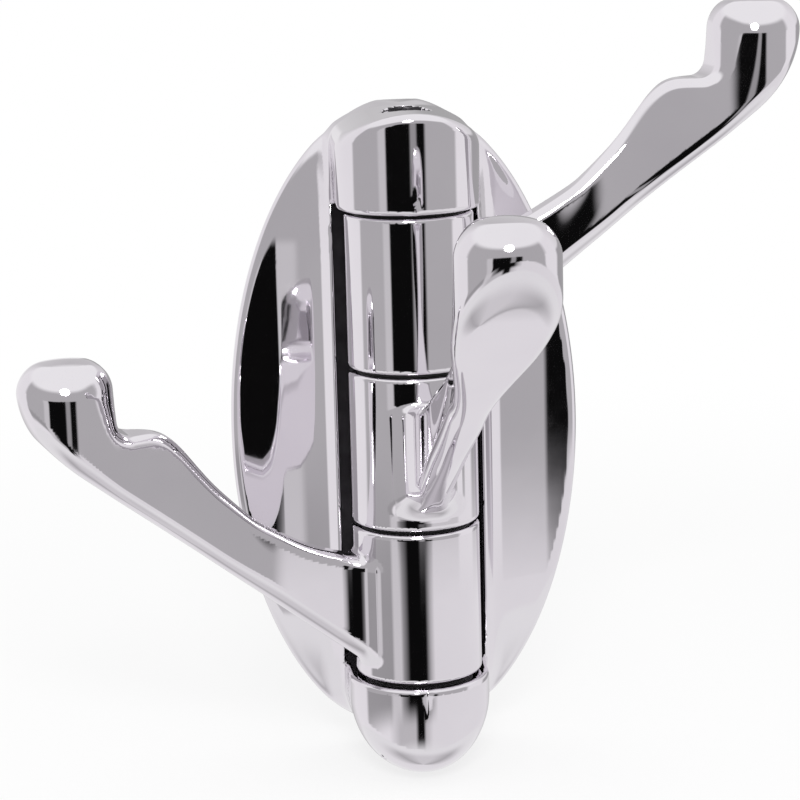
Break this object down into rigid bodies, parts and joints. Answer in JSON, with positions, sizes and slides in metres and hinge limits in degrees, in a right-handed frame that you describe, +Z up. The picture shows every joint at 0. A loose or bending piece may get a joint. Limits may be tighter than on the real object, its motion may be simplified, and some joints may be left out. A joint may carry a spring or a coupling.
{
  "type": "swivel triple hook",
  "caption": "Chrome-plated wall hook: an oval backplate with a vertical pivot that carries separate swivelling arms, each with an upright end pad.",
  "frame": {"origin": "centre of the flat back, on the wall plane, midway between the two wall screws", "axes": "+Z up along the wall, +Y into the wall, so the hooks stand out towards -Y; +X is to the right for a viewer who faces the hook"},
  "size_m": [0.1347, 0.0837, 0.1318],
  "materials": {
    "chrome_casting": "bright chrome plating on a polished zinc casting",
    "chrome_pin": "bright chrome plating on turned steel",
    "spring_steel": "oiled spring steel",
    "zinc_plated_steel": "bright zinc plating",
    "black_steel": "black oxide",
    "washer_plastic": "moulded, matt",
    "sleeve_plastic": "natural acetal, matt"
  },
  "bodies": {
    "base": {"backplate": "chrome_casting", "pivot_pin": "chrome_pin", "disc_spring": "spring_steel", "nut_washer": "zinc_plated_steel", "pivot_nut": "zinc_plated_steel", "wall_bracket": "zinc_plated_steel", "grub_screw": "black_steel", "washer_top": "washer_plastic", "washer_upper": "washer_plastic", "washer_lower": "washer_plastic", "washer_bottom": "washer_plastic"},
    "upper_hook": {"hook_upper": "chrome_casting", "sleeve_upper": "sleeve_plastic"},
    "middle_hook": {"hook_middle": "chrome_casting", "sleeve_middle": "sleeve_plastic"},
    "lower_hook": {"hook_lower": "chrome_casting", "sleeve_lower": "sleeve_plastic"}
  },
  "joints": [
    {"name": "swivel_upper", "type": "hinge", "parent": "base", "child": "upper_hook", "pos_m": [0, -0.016, 0.027], "axis": [0, 0, 1], "range_deg": [-188, 0]},
    {"name": "swivel_middle", "type": "hinge", "parent": "base", "child": "middle_hook", "pos_m": [0, -0.016, 0], "axis": [0, 0, 1], "range_deg": [-102, 86]},
    {"name": "swivel_lower", "type": "hinge", "parent": "base", "child": "lower_hook", "pos_m": [0, -0.016, -0.027], "axis": [0, 0, 1], "range_deg": [-18, 170]}
  ]
}
